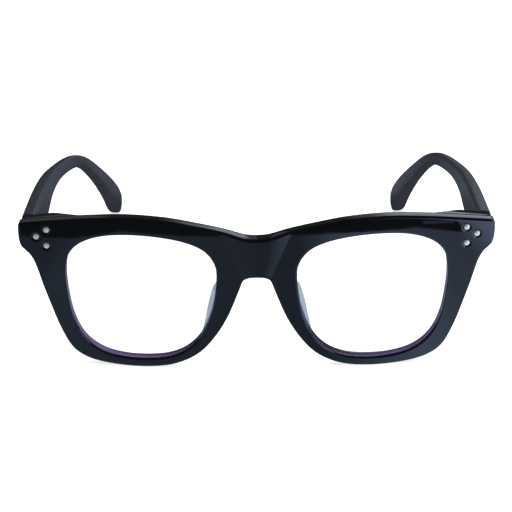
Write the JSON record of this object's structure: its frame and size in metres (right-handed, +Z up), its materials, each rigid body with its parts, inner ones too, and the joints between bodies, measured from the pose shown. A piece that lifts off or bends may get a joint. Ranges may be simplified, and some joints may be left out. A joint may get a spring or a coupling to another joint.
{
  "type": "blue light glasses",
  "caption": "Adult glasses with a chunky black plastic front, clear blue-light filter lenses, rivets on the end pieces and two folding temples on barrel hinges.",
  "frame": {"origin": "on the surface that the glasses stand on, under the middle of the bounding box of the open glasses", "axes": "+Z up, -Y out of the front of the lenses, so +Y points along the temples to their tips; +X towards the wearer's left temple"},
  "size_m": [0.1472, 0.148, 0.0501],
  "materials": {
    "front_plastic": "polished black plastic with a high gloss",
    "temple_plastic": "black plastic with a satin sheen",
    "lens": "clear plastic lens with a faint blue-violet anti-reflective coating",
    "nose_pad": "smooth translucent grey plastic",
    "hinge_steel": "plain plated steel",
    "rivet_metal": "satin silver metal"
  },
  "bodies": {
    "front": {"front_frame": "front_plastic", "lens_left": "lens", "lens_right": "lens", "nose_pad_left": "nose_pad", "nose_pad_right": "nose_pad", "front_hinge_leaf_left": "hinge_steel", "front_hinge_leaf_right": "hinge_steel", "hinge_screw_left": "hinge_steel", "hinge_screw_right": "hinge_steel", "front_rivet_left_1": "rivet_metal", "front_rivet_left_2": "rivet_metal", "front_rivet_left_3": "rivet_metal", "front_rivet_right_1": "rivet_metal", "front_rivet_right_2": "rivet_metal", "front_rivet_right_3": "rivet_metal"},
    "temple_left_arm": {"temple_left": "temple_plastic", "temple_core_wire_left": "hinge_steel", "temple_hinge_leaf_left": "hinge_steel"},
    "temple_right_arm": {"temple_right": "temple_plastic", "temple_core_wire_right": "hinge_steel", "temple_hinge_leaf_right": "hinge_steel"}
  },
  "joints": [
    {"name": "temple_fold_left", "type": "hinge", "parent": "front", "child": "temple_left_arm", "pos_m": [0.0673, -0.05695, 0.042], "axis": [0, 0, 1], "range_deg": [0, 85]},
    {"name": "temple_fold_right", "type": "hinge", "parent": "front", "child": "temple_right_arm", "pos_m": [-0.0673, -0.05695, 0.042], "axis": [0, 0, -1], "range_deg": [0, 77]}
  ]
}
